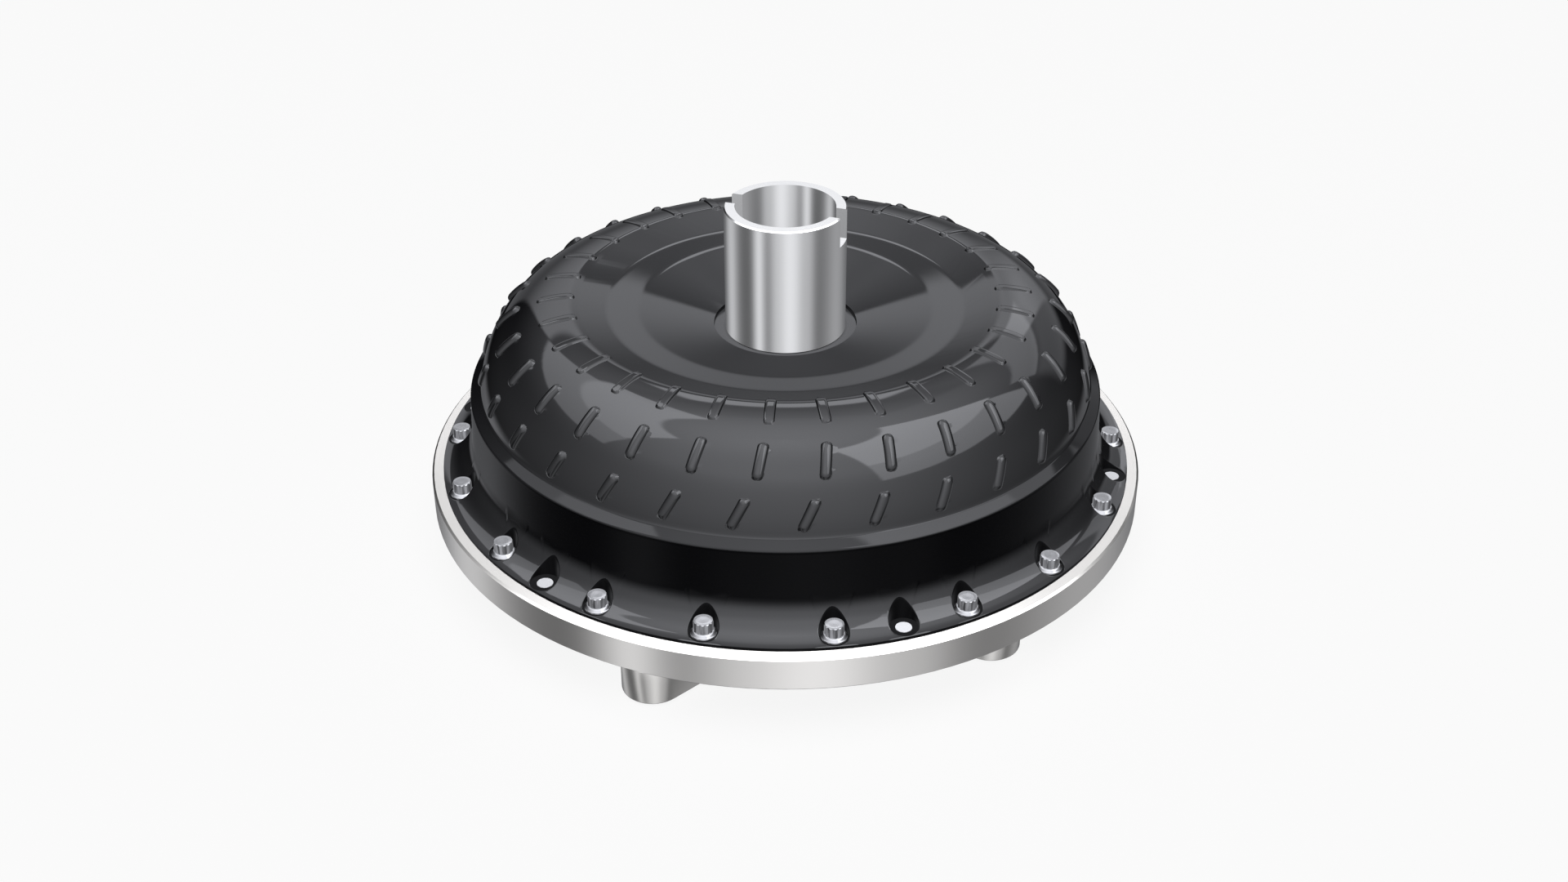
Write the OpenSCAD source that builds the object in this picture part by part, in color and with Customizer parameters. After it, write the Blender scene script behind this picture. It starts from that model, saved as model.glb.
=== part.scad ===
// Bolt-together hydrodynamic torque converter, non-lockup, three elements.
// Millimetres, +Z up along the shaft axis. The origin is on that axis, in the plane of
// the drive lug faces, so the part stands on its lugs with the pump hub pointing up.

/* [Front cover] */
// Outside diameter of the cover's bolting ring
ring_d = 288; // [284:1:296]
// Height of the bolting ring
ring_h = 13.8; // [12:0.2:18]
// Height of a drive lug below the ring
lug_h = 15; // [12:0.5:18]
// Bolt circle diameter of the three long drive lugs
long_lug_pcd = 262; // [258:1:266]
// Bolt circle diameter of the three short drive lugs
short_lug_pcd = 246.8; // [240:0.2:252]
// Angle of the first long lug about the axis
lug_angle = 8.4; // [0:0.1:15]
// Diameter of the pilot that enters the crankshaft
pilot_d = 43.24; // [42:0.02:44]

/* [Impeller shell] */
// Outside diameter of the shell's flange
flange_d = 278.6; // [278:0.1:279]
// How far the flange's edge stands above the ring
flange_rise = 1.2; // [1:0.1:2]
// Outside diameter of the cylindrical wall
wall_d = 253.4; // [252:0.2:254]
// Height of the shoulder above the ring
shoulder_h = 33.8; // [32:0.2:36]
// Height of the bowl's crest above the ring
crest_h = 69.9; // [68:0.1:72]
// Diameter of the bowl where it leaves the shoulder
bowl_d = 240.2; // [239:0.2:241]
// Diameter of the circle along the bowl's crest
crest_d = 169.8; // [168:0.2:172]
// Thickness of the shell
shell_t = 4; // [3.4:0.1:4.2]
// Number of impeller blades, and of beads in each row
impeller_blade_count = 30; // [24:1:32]

/* [Pump hub] */
// Outside diameter of the pump hub
hub_d = 47.6; // [47:0.1:48]
// Bore of the pump hub
hub_bore_d = 39.1; // [38.5:0.1:39.5]
// Height of the pump hub's end above the ring
hub_h = 106.8; // [100:0.2:112]
// Width of a drive notch
notch_w = 8.6; // [7:0.1:10]
// Depth of a drive notch
notch_depth = 12.2; // [10:0.1:14]
// Angle of the notches about the axis
notch_angle = 161.5; // [150:0.5:175]

/* [Fasteners] */
// Diameter of the bolt circle in the flange
bolt_pcd = 266.5; // [266:0.1:267]
// Thread diameter of a flange bolt
bolt_d = 6; // [5:0.5:6]
// Diameter of a bolt's built-in washer
bolt_washer_d = 9.6; // [9:0.1:9.8]
// Diameter of a spot-faced pocket in the flange
pocket_d = 10.8; // [10.6:0.1:11]

/* [Turbine and stator] */
// Number of turbine blades
turbine_blade_count = 29; // [23:1:31]
// Number of stator blades
stator_blade_count = 13; // [9:1:15]
// Number of rollers in the one-way clutch
roller_count = 10; // [8:1:10]
// Number of needles in each thrust bearing
needle_count = 24; // [18:1:26]

/* [Hidden] */
$fn = 96;
eps = 0.01;

// Levels of the housing, measured from the lug faces
ring_bottom = lug_h;
ring_top = ring_bottom + ring_h;
register_depth = 3;
seat_z = ring_top - register_depth;
pocket_z = ring_top + 1;
flange_top = ring_top + flange_rise;
shoulder_z = ring_top + shoulder_h;
crest_z = ring_top + crest_h;
hub_top = ring_top + hub_h;

// Radii of the housing
ring_r = ring_d / 2;
flange_r = flange_d / 2;
wall_r = wall_d / 2;
bowl_r = bowl_d / 2;
crest_r = crest_d / 2;
hub_r = hub_d / 2;
hub_bore_r = hub_bore_d / 2;
bolt_circle_r = bolt_pcd / 2;
cavity_r = wall_r - shell_t;
spigot_r = wall_r + 0.2;
register_clearance = 0.1;

// The bowl is a quarter of a superellipse, slightly squarer than an ellipse
bowl_base_z = shoulder_z - 0.4;
bowl_radial = bowl_r - crest_r;
bowl_axial = crest_z - bowl_base_z;
bowl_power = 2 / 2.17;
bowl_steps = 18;

// Inner slope, flat band and dish between the crest and the hub
valley_r = 70.4;
valley_z = crest_z - 4.6;
dish_r = 58;
dish_z = crest_z - 5.8;
recess_r = 28.3;
recess_z = crest_z - 13.1;
recess_depth = 1.7;
hub_seat_z = recess_z - recess_depth;
hub_shoulder_r = 24.5;
hub_flange_r = 34.8;
hub_flange_t = 3.9;
hub_face_z = hub_seat_z - shell_t - hub_flange_t;

// Concave fillet that carries the flange up into the wall
fillet_radial = flange_r - wall_r;
fillet_axial = 14.4;

// Bolt, dowel and lug positions repeat six times round the flange
sector_count = 6;
sector = 360 / sector_count;
bolt_offsets = [-9, 9, 29];
dowel_offset = 40;
bolt_r = bolt_d / 2;
bolt_depth = 11.8;
dowel_r = 3;
pocket_r = pocket_d / 2;

// Beads over the blade tabs: position round the bowl, angle, skew, length, width, height
bead_rows = [
    [82.6, 2.5, 0, 15.2, 4.2, 0.6],
    [46.0, 1.4, 8, 13.6, 3.9, 1.1],
    [13.4, -2.0, 26, 12.6, 3.9, 1.1]
];
bead_root = 2;

// Torus between the impeller and the turbine
gap_z = shoulder_z - shell_t;
impeller_edge_z = gap_z + 1.1;
turbine_edge_z = gap_z - 1.1;
core_r = 86;
core_section_r = 15;
core_t = 1.4;
impeller_blade_t = 1.2;
turbine_blade_t = 1;
// Gap between the impeller's blades and its shell, bridged by braze
braze_gap = 0.03;
stator_zone_r = 69.5;
stator_half_zone = 14.5;

// Turbine
turbine_t = 2;
turbine_radial = 30.6;
turbine_radial_in = 26;
turbine_axial = 31.5;
turbine_floor_z = turbine_edge_z - turbine_axial;
turbine_flange_z = turbine_floor_z + 9.5;
turbine_rim_steps = 16;
turbine_hub_flange_t = 3;
turbine_hub_flange_r = 56;
turbine_hub_boss_r = 34;
turbine_hub_waist_r = 26;
rivet_count = 10;
rivet_circle_r = 49;
rivet_r = 2.5;

// Splines: number of teeth, radius at the tips, radius at the roots
turbine_spline = [30, 13, 14.3];
race_spline = [36, 17, 18.3];

// Bearing stack along the axis, between the cover and the pump hub
cover_t = 6;
cover_face_z = 9 + 6.5;
race_t = 1;
needle_gap = 2.5;
bearing_t = 2 * race_t + needle_gap;
turbine_hub_bottom = cover_face_z + bearing_t;
stator_top = hub_face_z - bearing_t;
stator_h = 21;
stator_bottom = stator_top - stator_h;
turbine_hub_top = stator_bottom - bearing_t;
bearing_inner_r = 25;
bearing_outer_r = 34;
needle_r = 1.15;
needle_length = 6.4;

// One-way clutch
inner_race_r = 24;
inner_race_neck_r = 22.6;
plate_t = 1.8;
plate_inner_r = 23;
cam_outer_r = 36;
cam_inner_r = 29.6;
roller_r = 3;
roller_circle_r = 27.3;
clutch_clearance = 0.2;

// Stator wheel
stator_bore_r = 36.05;
stator_hub_r = 44;
stator_rim_r = 66;
stator_rim_t = 2;
stator_lip = 1;
stator_tail = 2;
snap_ring_t = 1.2;

// ---------------------------------------------------------------- helpers

// Signed power, so that one formula serves all quadrants of a superellipse
function spow(x) = sign(x) * pow(abs(x), bowl_power);

// Points on a superellipse round (rc, zc) from angle t0 to angle t1
function superarc(rc, zc, a, b, t0, t1, n) = [
    for (i = [0:n])
        let (t = t0 + (t1 - t0) * i / n)
            [rc + a * spow(cos(t)), zc + b * spow(sin(t))]
];

// Points along the concave fillet, from the flange's edge to the foot of the wall
function fillet_points(n) = [
    for (i = [0:n])
        let (t = 90 * i / n)
            [flange_r - fillet_radial * sin(t), flange_top + fillet_axial * (1 - cos(t))]
];

module ring_of(count, start = 0) {
    for (i = [0:count - 1])
        rotate([0, 0, start + i * 360 / count])
            children();
}

// A washer: an annulus of rectangular section
module washer(inner_r, outer_r, z, thickness) {
    rotate_extrude()
        translate([inner_r, z])
            square([outer_r - inner_r, thickness]);
}

// Space of a splined hole: teeth point inwards from root radius to tip radius
module spline_hole(teeth, tip_r, root_r, z, height) {
    groove_w = PI * tip_r / teeth;
    translate([0, 0, z])
        linear_extrude(height) {
            circle(r = tip_r);
            for (i = [0:teeth - 1])
                rotate(i * 360 / teeth)
                    translate([tip_r - 1, -groove_w / 2])
                        square([root_r - tip_r + 1, groove_w]);
        }
}

// Upright sheet, curved in plan, from (r_in, a_in) to (r_out, a_out)
module curved_sheet(r_in, a_in, r_out, a_out, sag, thickness, z, height) {
    p = [r_in * cos(a_in), r_in * sin(a_in)];
    q = [r_out * cos(a_out), r_out * sin(a_out)];
    chord = norm(q - p);
    along = (q - p) / chord;
    across = [-along[1], along[0]];
    bend_r = (chord * chord / 4 + sag * sag) / (2 * sag);
    centre = (p + q) / 2 - across * (bend_r - sag);
    translate([centre[0], centre[1], z])
        difference() {
            cylinder(r = bend_r + thickness / 2, h = height);
            translate([0, 0, -1])
                cylinder(r = bend_r - thickness / 2, h = height + 2);
        }
}

// ---------------------------------------------------------------- housing

module front_cover() {
    outer_chamfer = 0.8;
    dish_outer_r = 100;
    dish_inner_r = 60;
    boss_z = 9;
    color("silver")
        difference() {
            rotate_extrude()
                polygon([
                    [12.05, boss_z],
                    [dish_inner_r, boss_z],
                    [dish_outer_r, ring_bottom],
                    [ring_r - outer_chamfer, ring_bottom],
                    [ring_r, ring_bottom + outer_chamfer],
                    [ring_r, ring_top - outer_chamfer],
                    [ring_r - outer_chamfer, ring_top],
                    [flange_r + register_clearance, ring_top],
                    [flange_r + register_clearance, seat_z],
                    [spigot_r + register_clearance, seat_z],
                    [spigot_r + register_clearance, ring_bottom + cover_t],
                    [dish_outer_r + 4, ring_bottom + cover_t],
                    [dish_inner_r + 4, cover_face_z],
                    [12.05, cover_face_z]
                ]);
            for (k = [0:sector_count - 1]) {
                for (a = bolt_offsets)
                    rotate([0, 0, lug_angle + k * sector + a])
                        translate([bolt_circle_r, 0, pocket_z - bolt_depth - 1])
                            cylinder(r = bolt_r + 0.02, h = bolt_depth + 2);
                rotate([0, 0, lug_angle + k * sector + dowel_offset])
                    translate([bolt_circle_r, 0, ring_bottom + 2])
                        cylinder(r = dowel_r, h = ring_h);
            }
        }
}

// One pad: a round nose that spreads into flanks towards the centre
module lug_pad(pcd) {
    nose_r = 11.7;
    spread = 25;
    half_w = 17.2;
    centre_r = pcd / 2;
    tangent = [centre_r + nose_r * sin(spread), nose_r * cos(spread)];
    flank_r = tangent[0] - (half_w - tangent[1]) / tan(spread);
    inner_r = centre_r - 22;
    difference() {
        linear_extrude(lug_h) {
            translate([centre_r, 0])
                circle(r = nose_r);
            polygon([
                [inner_r, -half_w], [flank_r, -half_w], [tangent[0], -tangent[1]],
                [tangent[0], tangent[1]], [flank_r, half_w], [inner_r, half_w]
            ]);
        }
        translate([centre_r, 0, -1])
            cylinder(r = 4.25, h = lug_h - 0.5);
    }
}

module drive_lugs() {
    color("silver")
        for (k = [0:2]) {
            rotate([0, 0, lug_angle + k * 120])
                lug_pad(long_lug_pcd);
            rotate([0, 0, lug_angle + sector + k * 120])
                lug_pad(short_lug_pcd);
        }
}

module crank_pilot() {
    pilot_r = pilot_d / 2;
    nose_z = 1.2;
    color("silver")
        rotate_extrude()
            polygon([
                [0, 6], [14, 6], [15, 5], [15, nose_z],
                [pilot_r - 1, nose_z], [pilot_r, nose_z + 1], [pilot_r, 9],
                [12, 9], [12, cover_face_z - 0.1], [0, cover_face_z - 0.1]
            ]);
}

module cover_seal() {
    color([0.05, 0.05, 0.05])
        rotate_extrude()
            translate([spigot_r - 0.97, ring_bottom + 8.3])
                circle(r = 1);
}

module bead(row) {
    t = row[0];
    length = row[3];
    width = row[4];
    height = row[5];
    normal_r = cos(t) / bowl_radial;
    normal_z = sin(t) / bowl_axial;
    tilt = atan2(normal_r, normal_z);
    translate([
        crest_r + bowl_radial * spow(cos(t)), 0,
        bowl_base_z + bowl_axial * spow(sin(t))
    ])
        rotate([0, tilt, 0])
            rotate([0, 0, -row[2]])
                translate([0, 0, -bead_root])
                    linear_extrude(bead_root + height) {
                        square([length - width, width], center = true);
                        for (s = [-1, 1])
                            translate([s * (length - width) / 2, 0])
                                circle(d = width, $fn = 24);
                    }
}

// Inside of the impeller shell, from the slope behind the hub out to the shoulder
function impeller_inside(clear = 0) = concat(
    [[dish_r + 0.4, dish_z - shell_t - 0.2 - clear],
     [valley_r + 0.5, valley_z - shell_t - 0.1 - clear]],
    superarc(crest_r, bowl_base_z, bowl_radial - shell_t - clear,
             bowl_axial - shell_t - clear, 90, 0, bowl_steps)
);

module impeller_shell() {
    outer_bowl = superarc(crest_r, bowl_base_z, bowl_radial, bowl_axial, 1.5, 90, bowl_steps);
    groove_bottom = ring_bottom + 7.2;
    color([0.12, 0.12, 0.13])
        difference() {
            union() {
                rotate_extrude()
                    polygon(concat(
                        [[flange_r, seat_z]],
                        fillet_points(10),
                        [[wall_r, shoulder_z - 2.2], [wall_r - 0.7, shoulder_z - 0.7],
                         [wall_r - 2, shoulder_z]],
                        outer_bowl,
                        [[valley_r, valley_z], [dish_r, dish_z], [recess_r, recess_z],
                         [recess_r, hub_seat_z], [hub_shoulder_r + 0.02, hub_seat_z],
                         [hub_shoulder_r + 0.02, hub_seat_z - shell_t],
                         [hub_flange_r + 0.2, hub_seat_z - shell_t]],
                        impeller_inside(),
                        [[bowl_r - shell_t, shoulder_z - shell_t],
                         [cavity_r, shoulder_z - shell_t],
                         [cavity_r, ring_bottom + cover_t + 0.6],
                         [spigot_r, ring_bottom + cover_t + 0.6],
                         [spigot_r, groove_bottom], [spigot_r - 2, groove_bottom],
                         [spigot_r - 2, groove_bottom + 2.2], [spigot_r, groove_bottom + 2.2],
                         [spigot_r, seat_z]]
                    ));
                for (row = bead_rows)
                    ring_of(impeller_blade_count, row[1])
                        bead(row);
            }
            for (k = [0:sector_count - 1]) {
                for (a = bolt_offsets)
                    rotate([0, 0, lug_angle + k * sector + a])
                        translate([bolt_circle_r, 0, 0])
                            bolt_seat(bolt_r + 0.2);
                rotate([0, 0, lug_angle + k * sector + dowel_offset])
                    translate([bolt_circle_r, 0, 0])
                        bolt_seat(dowel_r + 0.05);
            }
        }
}

// Spot-faced pocket with its through hole
module bolt_seat(hole_r) {
    translate([0, 0, pocket_z])
        cylinder(r = pocket_r, h = fillet_axial + 2);
    translate([0, 0, seat_z - 1])
        cylinder(r = hole_r, h = pocket_z - seat_z + 2);
}

module pump_hub() {
    end_chamfer = 0.5;
    color("gainsboro")
        difference() {
            rotate_extrude()
                polygon([
                    [hub_bore_r, hub_face_z],
                    [hub_flange_r, hub_face_z],
                    [hub_flange_r, hub_seat_z - shell_t],
                    [hub_shoulder_r, hub_seat_z - shell_t],
                    [hub_shoulder_r, hub_seat_z],
                    [hub_r, hub_seat_z],
                    [hub_r, hub_top - end_chamfer],
                    [hub_r - end_chamfer, hub_top],
                    [hub_bore_r, hub_top]
                ]);
            rotate([0, 0, notch_angle])
                translate([-hub_d, -notch_w / 2, hub_top - notch_depth])
                    cube([2 * hub_d, notch_w, notch_depth + 1]);
        }
}

module twelve_point(r, h) {
    cylinder(r = r, h = h, $fn = 6);
    rotate([0, 0, 30])
        cylinder(r = r, h = h, $fn = 6);
}

module flange_bolt() {
    washer_t = 1.3;
    skirt_t = 0.8;
    head_t = 4;
    head_r = 3.7;
    translate([0, 0, pocket_z - bolt_depth])
        cylinder(r = bolt_r, h = bolt_depth + 1);
    translate([0, 0, pocket_z])
        cylinder(d = bolt_washer_d, h = washer_t);
    translate([0, 0, pocket_z + washer_t])
        cylinder(d1 = bolt_washer_d, d2 = 2 * head_r + 0.6, h = skirt_t);
    translate([0, 0, pocket_z + washer_t + skirt_t - 0.1])
        twelve_point(head_r, head_t);
}

module flange_bolts() {
    color("silver")
        for (k = [0:sector_count - 1], a = bolt_offsets)
            rotate([0, 0, lug_angle + k * sector + a])
                translate([bolt_circle_r, 0, 0])
                    flange_bolt();
}

module dowel_pins() {
    color("white")
        ring_of(sector_count, lug_angle + dowel_offset)
            translate([bolt_circle_r, 0, ring_bottom + 2])
                cylinder(r = dowel_r, h = pocket_z - ring_bottom - 2);
}

// ---------------------------------------------------------------- impeller inside

// Section of the impeller's passage, bounded by the shell and the core ring
module impeller_passage() {
    difference() {
        polygon(concat(
            impeller_inside(braze_gap),
            [[bowl_r - shell_t - braze_gap, impeller_edge_z],
             [stator_zone_r, impeller_edge_z],
             [stator_zone_r, gap_z + stator_half_zone],
             [dish_r, gap_z + stator_half_zone]]
        ));
        translate([core_r, gap_z])
            circle(r = core_section_r);
    }
}

module impeller_blades() {
    color("dimgray")
        ring_of(impeller_blade_count)
            intersection() {
                rotate([0, 0, -12])
                    rotate_extrude(angle = 28)
                        impeller_passage();
                curved_sheet(50, 4.5, 120, -2.5, 3.5, impeller_blade_t, gap_z, crest_h);
            }
}

module core_ring(side) {
    rotate_extrude()
        intersection() {
            translate([core_r, gap_z])
                difference() {
                    circle(r = core_section_r);
                    circle(r = core_section_r - core_t);
                }
            translate([core_r - 20, side > 0 ? impeller_edge_z : turbine_edge_z - 20])
                square([40, 20]);
        }
}

module impeller_core_ring() {
    color("gray")
        core_ring(1);
}

// ---------------------------------------------------------------- turbine

// Inside of the turbine shell, from its rim down to the flat flange round the hub
function turbine_inside() = concat(
    superarc(crest_r, turbine_edge_z, turbine_radial, -turbine_axial,
             0, 90, turbine_rim_steps),
    superarc(crest_r, turbine_edge_z, turbine_radial_in, -turbine_axial,
             96, 138, 7)
);

module turbine_shell() {
    outside = concat(
        superarc(crest_r, turbine_edge_z, turbine_radial_in + turbine_t,
                 -turbine_axial - turbine_t, 138, 96, 7),
        superarc(crest_r, turbine_edge_z, turbine_radial + turbine_t,
                 -turbine_axial - turbine_t, 90, 0, turbine_rim_steps)
    );
    flange_inner_r = 42;
    color("steelblue")
        difference() {
            rotate_extrude()
                polygon(concat(
                    turbine_inside(),
                    [[60, turbine_flange_z + turbine_t],
                     [flange_inner_r, turbine_flange_z + turbine_t],
                     [flange_inner_r, turbine_flange_z],
                     [60, turbine_flange_z]],
                    outside
                ));
            ring_of(rivet_count)
                translate([rivet_circle_r, 0, turbine_flange_z - 1])
                    cylinder(r = rivet_r + 0.02, h = turbine_t + 2);
        }
}

module turbine_passage() {
    difference() {
        polygon(concat(
            turbine_inside(),
            [[60, turbine_flange_z + turbine_t],
             [60, gap_z - stator_half_zone],
             [stator_zone_r, gap_z - stator_half_zone],
             [stator_zone_r, turbine_edge_z]]
        ));
        translate([core_r, gap_z])
            circle(r = core_section_r);
    }
}

module turbine_blades() {
    color("lightsteelblue")
        ring_of(turbine_blade_count)
            intersection() {
                rotate([0, 0, -10])
                    rotate_extrude(angle = 50)
                        turbine_passage();
                curved_sheet(52, 22, 118, 0, 8, turbine_blade_t, turbine_floor_z - 1, 40);
            }
}

module turbine_core_ring() {
    color("lightsteelblue")
        core_ring(-1);
}

module turbine_hub() {
    flange_z = turbine_flange_z - turbine_hub_flange_t;
    color("slategray")
        difference() {
            rotate_extrude()
                polygon([
                    [0, turbine_hub_bottom],
                    [turbine_hub_boss_r, turbine_hub_bottom],
                    [turbine_hub_boss_r, turbine_hub_bottom + 3],
                    [turbine_hub_waist_r, turbine_hub_bottom + 3],
                    [turbine_hub_waist_r, flange_z],
                    [turbine_hub_flange_r, flange_z],
                    [turbine_hub_flange_r, turbine_flange_z],
                    [turbine_hub_boss_r, turbine_flange_z],
                    [turbine_hub_boss_r, turbine_hub_top],
                    [0, turbine_hub_top]
                ]);
            spline_hole(turbine_spline[0], turbine_spline[1], turbine_spline[2],
                        turbine_hub_bottom - 1, turbine_hub_top - turbine_hub_bottom + 2);
            ring_of(rivet_count)
                translate([rivet_circle_r, 0, flange_z - 1])
                    cylinder(r = rivet_r + 0.02, h = turbine_hub_flange_t + 2);
        }
}

module turbine_rivets() {
    head_r = 4.4;
    head_h = 1.8;
    top_z = turbine_flange_z + turbine_t;
    bottom_z = turbine_flange_z - turbine_hub_flange_t;
    color("goldenrod")
        ring_of(rivet_count)
            translate([rivet_circle_r, 0, 0]) {
                translate([0, 0, bottom_z - head_h])
                    cylinder(r1 = head_r - 1.5, r2 = head_r, h = head_h);
                translate([0, 0, bottom_z - eps])
                    cylinder(r = rivet_r, h = top_z - bottom_z + 2 * eps);
                translate([0, 0, top_z])
                    cylinder(r1 = head_r, r2 = head_r - 1.5, h = head_h);
            }
}

// ---------------------------------------------------------------- stator

// A drop-shaped blade section: round nose up, thin tail down, turned into the flow
module stator_blade() {
    nose_r = 2.6;
    nose_y = 6;
    tail_y = -9.6;
    tail_r = 0.5;
    turn = 24;
    translate([stator_hub_r - 2, 0, (stator_bottom + stator_top) / 2])
        rotate([0, 90, 0])
            rotate([0, 0, 90 + turn])
                linear_extrude(stator_rim_r - stator_hub_r + 3)
                    union() {
                        translate([0, nose_y])
                            circle(r = nose_r, $fn = 32);
                        polygon([
                            [-nose_r * 0.98, nose_y - 0.5], [-tail_r, tail_y],
                            [tail_r, tail_y], [nose_r * 0.98, nose_y - 0.5],
                            [nose_r * 0.7, nose_y + 1], [-nose_r * 0.7, nose_y + 1]
                        ]);
                    }
}

module stator_wheel() {
    lip_r = 34.6;
    groove_r = 37.2;
    groove_z = stator_top;
    color("darkseagreen")
        union() {
            rotate_extrude()
                polygon([
                    [lip_r, stator_bottom - stator_lip], [stator_hub_r, stator_bottom - stator_lip],
                    [stator_hub_r, stator_top + stator_tail],
                    [stator_bore_r, stator_top + stator_tail],
                    [stator_bore_r, groove_z + snap_ring_t + 0.1],
                    [groove_r, groove_z + snap_ring_t + 0.1],
                    [groove_r, groove_z], [stator_bore_r, groove_z],
                    [stator_bore_r, stator_bottom], [lip_r, stator_bottom]
                ]);
            washer(stator_rim_r, stator_rim_r + stator_rim_t, stator_bottom, stator_h);
            ring_of(stator_blade_count)
                stator_blade();
        }
}

module stator_cam_race() {
    height = stator_h - 2 * plate_t - 0.1;
    color("tan")
        difference() {
            washer(cam_inner_r, cam_outer_r, stator_bottom + plate_t + 0.05, height);
            ring_of(roller_count) {
                translate([roller_circle_r + 0.4, 0, stator_bottom])
                    cylinder(r = roller_r + 0.5, h = stator_h);
                rotate([0, 0, 7.5])
                    translate([roller_circle_r, 0, stator_bottom])
                        translate([-1, -2.6, 0])
                            cube([5.4, 6.4, stator_h]);
            }
        }
}

module clutch_rollers() {
    color("gold")
        ring_of(roller_count)
            translate([roller_circle_r, 0, stator_bottom + plate_t + clutch_clearance])
                cylinder(r = roller_r, h = stator_h - 2 * (plate_t + clutch_clearance));
}

// Folded strip springs, each pushing its roller up the ramp
module clutch_springs() {
    strip_t = 0.3;
    pitch = 0.9;
    folds = 4;
    half_h = 1.5;
    color("orange")
        ring_of(roller_count, 6.8)
            translate([roller_circle_r + 2.1, 0, stator_bottom + 6])
                linear_extrude(9)
                    for (i = [0:folds - 1]) {
                        y = 0.1 + i * pitch;
                        s = i % 2 == 0 ? 1 : -1;
                        polygon([
                            [-half_h * s, y], [half_h * s, y + pitch],
                            [half_h * s, y + pitch + strip_t], [-half_h * s, y + strip_t]
                        ]);
                    }
}

module clutch_front_plate() {
    color("khaki")
        washer(plate_inner_r, cam_outer_r, stator_bottom, plate_t);
}

module clutch_rear_plate() {
    color("khaki")
        washer(plate_inner_r, cam_outer_r, stator_top - plate_t, plate_t);
}

module stator_snap_ring() {
    gap_w = 6;
    color("black")
        difference() {
            washer(34.8, 37.1, stator_top, snap_ring_t);
            translate([30, -gap_w / 2, stator_top - 1])
                cube([10, gap_w, 5]);
        }
}

module stator_inner_race() {
    shoulder = plate_t + clutch_clearance;
    color("peru")
        difference() {
            rotate_extrude()
                polygon([
                    [0, stator_bottom + clutch_clearance],
                    [inner_race_neck_r, stator_bottom + clutch_clearance],
                    [inner_race_neck_r, stator_bottom + shoulder],
                    [inner_race_r, stator_bottom + shoulder],
                    [inner_race_r, stator_top - shoulder],
                    [inner_race_neck_r, stator_top - shoulder],
                    [inner_race_neck_r, stator_top - clutch_clearance],
                    [0, stator_top - clutch_clearance]
                ]);
            spline_hole(race_spline[0], race_spline[1], race_spline[2],
                        stator_bottom - 1, stator_h + 2);
        }
}

// ---------------------------------------------------------------- thrust bearings

module bearing_race(z) {
    color("lightgray")
        washer(bearing_inner_r, bearing_outer_r, z, race_t);
}

module bearing_cage(z) {
    cage_t = 1.6;
    window_w = 2.5;
    window_length = needle_length + 0.3;
    middle_r = (bearing_inner_r + bearing_outer_r) / 2;
    color("darkkhaki")
        difference() {
            washer(bearing_inner_r + 0.3, bearing_outer_r - 0.3,
                   z + race_t + (needle_gap - cage_t) / 2, cage_t);
            ring_of(needle_count)
                translate([middle_r - window_length / 2, -window_w / 2, z])
                    cube([window_length, window_w, bearing_t]);
        }
}

module bearing_needles(z) {
    middle_r = (bearing_inner_r + bearing_outer_r) / 2;
    color("white")
        ring_of(needle_count)
            translate([middle_r - needle_length / 2, 0, z + bearing_t / 2])
                rotate([0, 90, 0])
                    cylinder(r = needle_r, h = needle_length, $fn = 24);
}

front_cover();
drive_lugs();
crank_pilot();
cover_seal();
impeller_shell();
pump_hub();
flange_bolts();
dowel_pins();
impeller_blades();
impeller_core_ring();
turbine_shell();
turbine_blades();
turbine_core_ring();
turbine_hub();
turbine_rivets();
stator_wheel();
stator_cam_race();
clutch_rollers();
clutch_springs();
clutch_front_plate();
clutch_rear_plate();
stator_snap_ring();
stator_inner_race();
bearing_race(cover_face_z);  // front_race_cover
bearing_race(turbine_hub_bottom - race_t);  // front_race_turbine
bearing_cage(cover_face_z);  // front_cage
bearing_needles(cover_face_z);  // front_needles
bearing_race(turbine_hub_top);  // middle_race_turbine
bearing_race(stator_bottom - race_t);  // middle_race_stator
bearing_cage(turbine_hub_top);  // middle_cage
bearing_needles(turbine_hub_top);  // middle_needles
bearing_race(stator_top);  // rear_race_stator
bearing_race(hub_face_z - race_t);  // rear_race_hub
bearing_cage(stator_top);  // rear_cage
bearing_needles(stator_top);  // rear_needles
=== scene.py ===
"""Looks for the torque converter: a detailed housing shell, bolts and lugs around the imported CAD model,
a procedural material for every part, and a plain pale studio."""

import math

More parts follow.
